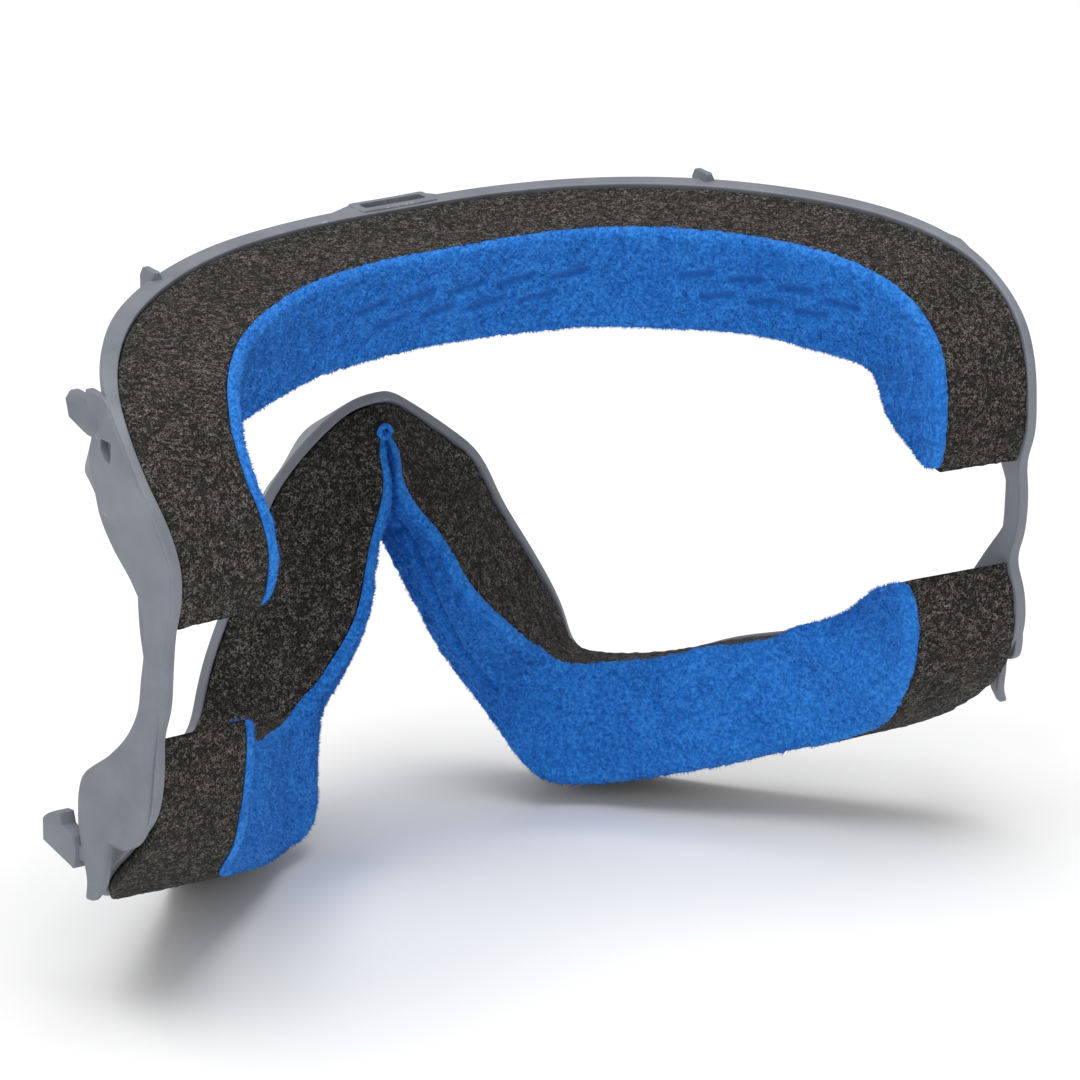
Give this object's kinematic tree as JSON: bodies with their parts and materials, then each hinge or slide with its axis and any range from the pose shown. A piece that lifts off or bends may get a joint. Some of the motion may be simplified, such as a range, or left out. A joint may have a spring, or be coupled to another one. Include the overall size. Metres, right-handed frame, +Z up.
{
  "type": "padded face frame of sports protective goggles",
  "caption": "Face frame of sports goggles: a moulded carrier round both eyes with fleece-lined foam brow and cheek pads and a snap latch at each lower corner.",
  "frame": {"origin": "under the middle of the frame, at the height of its lowest point", "axes": "+X to the wearer's left, +Y from the lens side to the wearer's face, +Z up"},
  "size_m": [0.1908, 0.0952, 0.1145],
  "materials": {
    "carrier_plastic": "fine matt moulded grey plastic",
    "latch_plastic": "fine matt moulded grey plastic",
    "open_cell_foam": "charcoal open-cell foam",
    "blue_fleece": "short brushed blue fleece",
    "adhesive": "thin pressure-sensitive adhesive film"
  },
  "bodies": {
    "face_frame": {"carrier_frame": "carrier_plastic", "upper_foam_pad": "open_cell_foam", "lower_foam_pad": "open_cell_foam", "upper_fleece_lining": "blue_fleece", "lower_fleece_lining": "blue_fleece", "upper_adhesive_tape": "adhesive", "lower_adhesive_tape": "adhesive"},
    "left_latch": {"left_latch_arm": "latch_plastic"},
    "right_latch": {"right_latch_arm": "latch_plastic"}
  },
  "joints": [
    {"name": "left_latch_flex", "type": "hinge", "parent": "face_frame", "child": "left_latch", "pos_m": [0.0926, 0.02578, 0.02836], "axis": [1, 0, 0], "range_deg": [0, 7], "stiffness_Nm_per_rad": 0.19},
    {"name": "right_latch_flex", "type": "hinge", "parent": "face_frame", "child": "right_latch", "pos_m": [-0.0926, 0.02578, 0.02836], "axis": [1, 0, 0], "range_deg": [0, 7], "stiffness_Nm_per_rad": 0.19}
  ]
}
